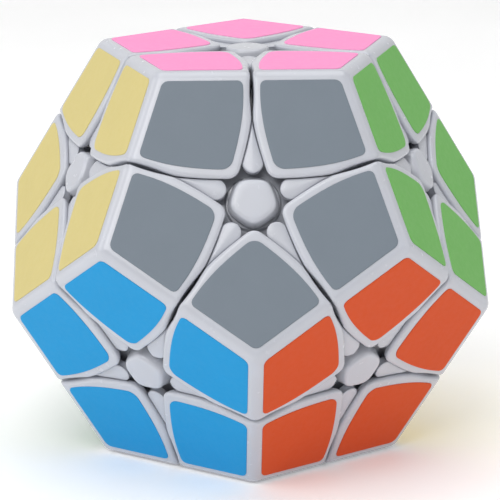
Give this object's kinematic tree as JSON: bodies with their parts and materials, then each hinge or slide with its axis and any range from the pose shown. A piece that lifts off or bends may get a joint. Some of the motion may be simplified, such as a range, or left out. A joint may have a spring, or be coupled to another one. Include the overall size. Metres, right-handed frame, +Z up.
{
  "type": "dodecahedron twisty puzzle",
  "caption": "Twelve-faced turning puzzle: coloured kite-shaped corners, sunken white edge fingers between them and a small five-sided cap in the middle of each face.",
  "frame": {"origin": "middle of the face that the puzzle rests on", "axes": "+Z up through the middles of the bottom and top faces, -Y towards the upper face called front"},
  "size_m": [0.0778, 0.0818, 0.0668],
  "materials": {
    "white_plastic": "satin, slightly cool white, moulded",
    "core_plastic": "satin moulded nylon",
    "steel": "zinc-plated screws, springs and washers",
    "sticker_grey": "matt vinyl",
    "sticker_pink": "matt vinyl",
    "sticker_cream": "matt vinyl",
    "sticker_light_green": "matt vinyl",
    "sticker_light_blue": "matt vinyl",
    "sticker_orange": "matt vinyl",
    "sticker_red": "matt vinyl",
    "sticker_dark_blue": "matt vinyl",
    "sticker_dark_green": "matt vinyl",
    "sticker_yellow": "matt vinyl",
    "sticker_purple": "matt vinyl",
    "sticker_black": "matt vinyl"
  },
  "bodies": {
    "core_and_still_layers": {"centre_back_left": "white_plastic", "centre_left": "white_plastic", "centre_low_left": "white_plastic", "centre_low_right": "white_plastic", "centre_right": "white_plastic", "centre_top": "white_plastic", "core": "core_plastic", "corner_back_left_left_low_back_left": "white_plastic", "corner_back_left_low_back_low_back_left": "white_plastic", "corner_left_low_back_left_low_left": "white_plastic", "corner_right_low_right_low_back_right": "white_plastic", "corner_top_back_left_left": "white_plastic", "edge_back_left_left": "white_plastic", "edge_back_left_low_back": "white_plastic", "edge_back_left_low_back_left": "white_plastic", "edge_left_low_back_left": "white_plastic", "edge_left_low_left": "white_plastic", "edge_low_back_left_low_left": "white_plastic", "edge_low_back_low_back_left": "white_plastic", "edge_low_back_right_low_back": "white_plastic", "edge_low_right_low_back_right": "white_plastic", "edge_low_right_low_left": "white_plastic", "edge_right_low_back_right": "white_plastic", "edge_right_low_right": "white_plastic", "edge_top_back_left": "white_plastic", "edge_top_left": "white_plastic", "edge_top_right": "white_plastic"},
    "front_layer": {"centre_front": "white_plastic", "corner_front_left_low_left": "white_plastic", "corner_front_low_right_low_left": "white_plastic", "corner_front_right_low_right": "white_plastic", "corner_top_front_left": "white_plastic", "corner_top_front_right": "white_plastic", "edge_front_left": "white_plastic", "edge_front_low_left": "white_plastic", "edge_front_low_right": "white_plastic", "edge_front_right": "white_plastic", "edge_top_front": "white_plastic"},
    "back_right_layer": {"centre_back_right": "white_plastic", "corner_back_right_back_left_low_back": "white_plastic", "corner_back_right_low_back_right_low_back": "white_plastic", "corner_right_back_right_low_back_right": "white_plastic", "corner_top_back_right_back_left": "white_plastic", "corner_top_right_back_right": "white_plastic", "edge_back_right_back_left": "white_plastic", "edge_back_right_low_back": "white_plastic", "edge_back_right_low_back_right": "white_plastic", "edge_right_back_right": "white_plastic", "edge_top_back_right": "white_plastic"},
    "bottom_layer": {"centre_bottom": "white_plastic", "corner_low_back_left_low_left_bottom": "white_plastic", "corner_low_back_low_back_left_bottom": "white_plastic", "corner_low_back_right_low_back_bottom": "white_plastic", "corner_low_right_low_back_right_bottom": "white_plastic", "corner_low_right_low_left_bottom": "white_plastic", "edge_low_back_bottom": "white_plastic", "edge_low_back_left_bottom": "white_plastic", "edge_low_back_right_bottom": "white_plastic", "edge_low_left_bottom": "white_plastic", "edge_low_right_bottom": "white_plastic"}
  },
  "joints": [
    {"name": "front_turn", "type": "hinge", "parent": "core_and_still_layers", "child": "front_layer", "pos_m": [0, 0, 0.03341], "axis": [0, -0.8944, 0.4472], "continuous": true},
    {"name": "back_right_turn", "type": "hinge", "parent": "core_and_still_layers", "child": "back_right_layer", "pos_m": [0, 0, 0.03341], "axis": [0.5257, 0.7236, 0.4472], "continuous": true},
    {"name": "bottom_turn", "type": "hinge", "parent": "core_and_still_layers", "child": "bottom_layer", "pos_m": [0, 0, 0.03341], "axis": [0, 0, -1], "continuous": true}
  ]
}
